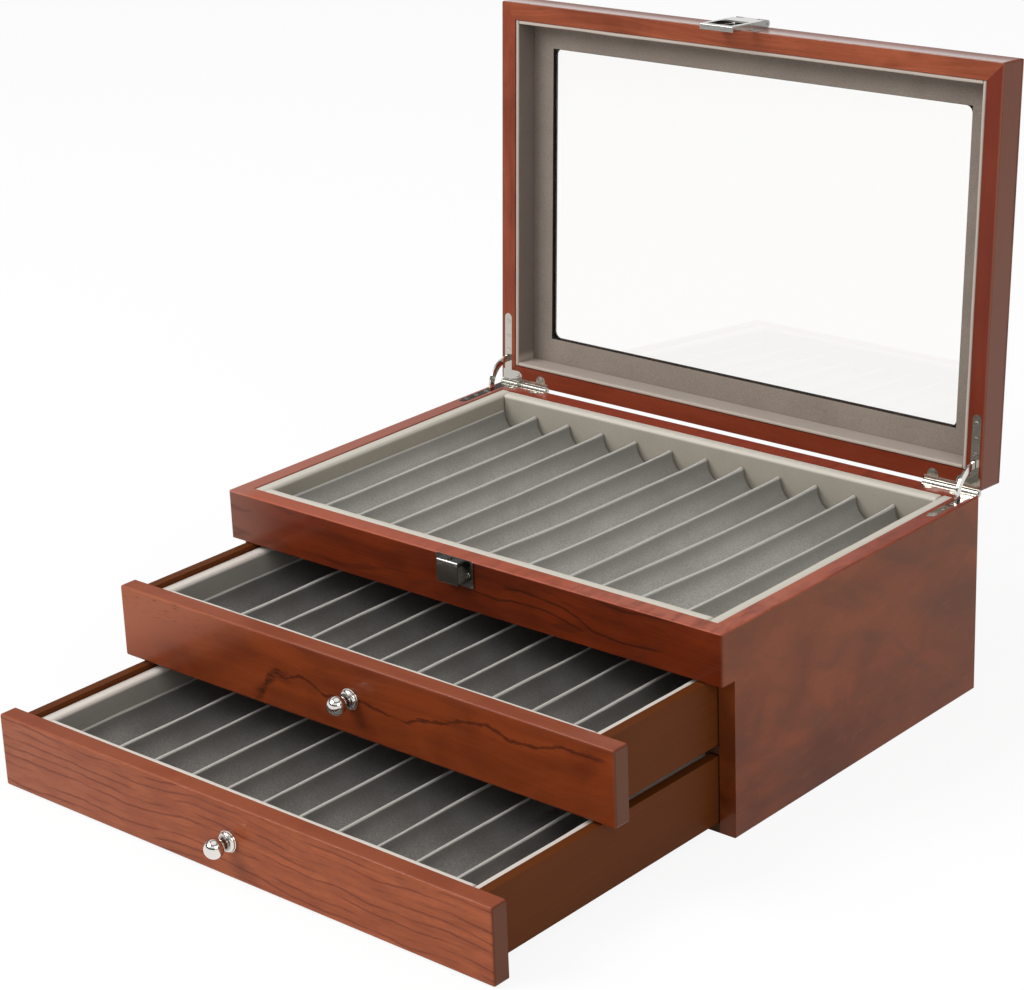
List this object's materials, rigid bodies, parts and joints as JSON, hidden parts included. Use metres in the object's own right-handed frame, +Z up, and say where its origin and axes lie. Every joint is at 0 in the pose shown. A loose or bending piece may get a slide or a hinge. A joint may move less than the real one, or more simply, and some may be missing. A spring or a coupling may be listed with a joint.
{
  "type": "fountain pen box",
  "caption": "Wooden pen display box with a hinged window lid on quadrant stays, a slotted velvet pen tray, slotted drawers with ball knobs and a hasp and staple.",
  "frame": {"origin": "centre of the case's underside, on the surface that the box stands on", "axes": "+Z up, -Y out of the drawer fronts, +X to the right of someone who faces the fronts"},
  "size_m": [0.34, 0.4513, 0.3497],
  "materials": {
    "case_wood": "gloss",
    "drawer_wood": "satin",
    "inner_board": "matte",
    "lining_fabric": "matte",
    "velvet": "matte",
    "hinge_metal": "polished",
    "knob_metal": "polished",
    "window_glass": "clear"
  },
  "bodies": {
    "case": {"left_panel": "case_wood", "right_panel": "case_wood", "back_panel": "case_wood", "fascia": "case_wood", "bottom_board": "inner_board", "drawer_divider": "inner_board", "tray_floor": "inner_board", "tray_lining": "lining_fabric", "tray_insert": "velvet", "left_case_leaf": "hinge_metal", "right_case_leaf": "hinge_metal", "left_hinge_pin": "hinge_metal", "right_hinge_pin": "hinge_metal", "catch": "hinge_metal"},
    "lid": {"lid_left_rail": "case_wood", "lid_right_rail": "case_wood", "lid_back_rail": "case_wood", "lid_front_rail": "case_wood", "lid_top_panel": "case_wood", "lid_glass": "window_glass", "window_mat": "velvet", "lid_lining": "lining_fabric", "left_lid_leaf": "hinge_metal", "right_lid_leaf": "hinge_metal", "hasp_plate": "hinge_metal", "hasp_pin": "hinge_metal"},
    "left_stay": {"left_stay": "hinge_metal"},
    "right_stay": {"right_stay": "hinge_metal"},
    "upper_drawer": {"upper_drawer_front": "case_wood", "upper_drawer_left_side": "drawer_wood", "upper_drawer_right_side": "drawer_wood", "upper_drawer_back": "drawer_wood", "upper_drawer_bottom": "inner_board", "upper_drawer_lining": "lining_fabric", "upper_drawer_insert": "velvet", "upper_drawer_knob": "knob_metal"},
    "lower_drawer": {"lower_drawer_front": "case_wood", "lower_drawer_left_side": "drawer_wood", "lower_drawer_right_side": "drawer_wood", "lower_drawer_back": "drawer_wood", "lower_drawer_bottom": "inner_board", "lower_drawer_lining": "lining_fabric", "lower_drawer_insert": "velvet", "lower_drawer_knob": "knob_metal"},
    "hasp": {"hasp_flap": "hinge_metal"}
  },
  "joints": [
    {"name": "lid_hinge", "type": "hinge", "parent": "case", "child": "lid", "pos_m": [0, 0.1162, 0.11355], "axis": [1, 0, 0], "range_deg": [0, 93.3]},
    {"name": "left_stay_pivot", "type": "hinge", "parent": "case", "child": "left_stay", "pos_m": [0, 0.1162, 0.11355], "axis": [1, 0, 0], "range_deg": [0, 46.65]},
    {"name": "right_stay_pivot", "type": "hinge", "parent": "case", "child": "right_stay", "pos_m": [0, 0.1162, 0.11355], "axis": [1, 0, 0], "range_deg": [0, 46.65]},
    {"name": "upper_drawer_slide", "type": "slide", "parent": "case", "child": "upper_drawer", "axis": [0, -1, 0], "range_m": [-0.0832, 0.1002]},
    {"name": "lower_drawer_slide", "type": "slide", "parent": "case", "child": "lower_drawer", "axis": [0, -1, 0], "range_m": [-0.1714, 0.012]},
    {"name": "hasp_hinge", "type": "hinge", "parent": "lid", "child": "hasp", "pos_m": [0, 0.14596, 0.34572], "axis": [-1, 0, 0], "range_deg": [0, 170]}
  ],
  "couplings": [
    {"joint": "left_stay_pivot", "follows": "lid_hinge", "ratio": 0.5},
    {"joint": "right_stay_pivot", "follows": "lid_hinge", "ratio": 0.5}
  ]
}
